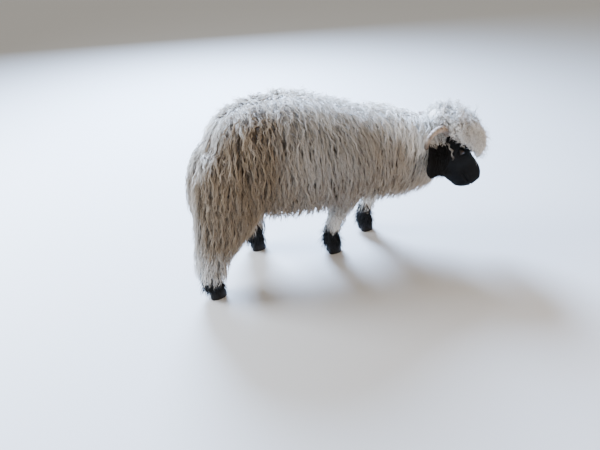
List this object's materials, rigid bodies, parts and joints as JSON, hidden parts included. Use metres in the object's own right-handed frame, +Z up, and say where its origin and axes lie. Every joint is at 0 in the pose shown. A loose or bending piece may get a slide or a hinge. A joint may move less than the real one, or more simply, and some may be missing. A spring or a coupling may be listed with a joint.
{
  "type": "valais blacknose lamb",
  "caption": "Still, life-size model of a young long-woolled sheep with a black face and black feet, standing with its head lowered.",
  "frame": {"origin": "on the floor under the middle of the animal's bounding box", "axes": "+X ahead of the animal along its body, +Y to the animal's left, +Z up"},
  "size_m": [0.995, 0.3511, 0.5699],
  "materials": {
    "wool": "matte",
    "black_hair": "matte",
    "horn": "satin",
    "hoof": "satin",
    "eye": "gloss"
  },
  "bodies": {
    "root": {"torso": "wool", "neck": "wool", "forelock": "wool", "tail": "wool", "hindleg_left": "wool", "hindleg_right": "wool", "foreleg_left": "wool", "foreleg_right": "wool", "head": "black_hair", "ear_left": "black_hair", "ear_right": "black_hair", "foot_hind_right": "black_hair", "foot_hind_left": "black_hair", "foot_fore_right": "black_hair", "foot_fore_left": "black_hair", "horn_left": "horn", "horn_right": "horn", "claw_hind_right_left": "hoof", "claw_hind_right_right": "hoof", "claw_hind_left_left": "hoof", "claw_hind_left_right": "hoof", "claw_fore_right_left": "hoof", "claw_fore_right_right": "hoof", "claw_fore_left_left": "hoof", "claw_fore_left_right": "hoof", "eye_left": "eye", "eye_right": "eye"}
  },
  "joints": []
}
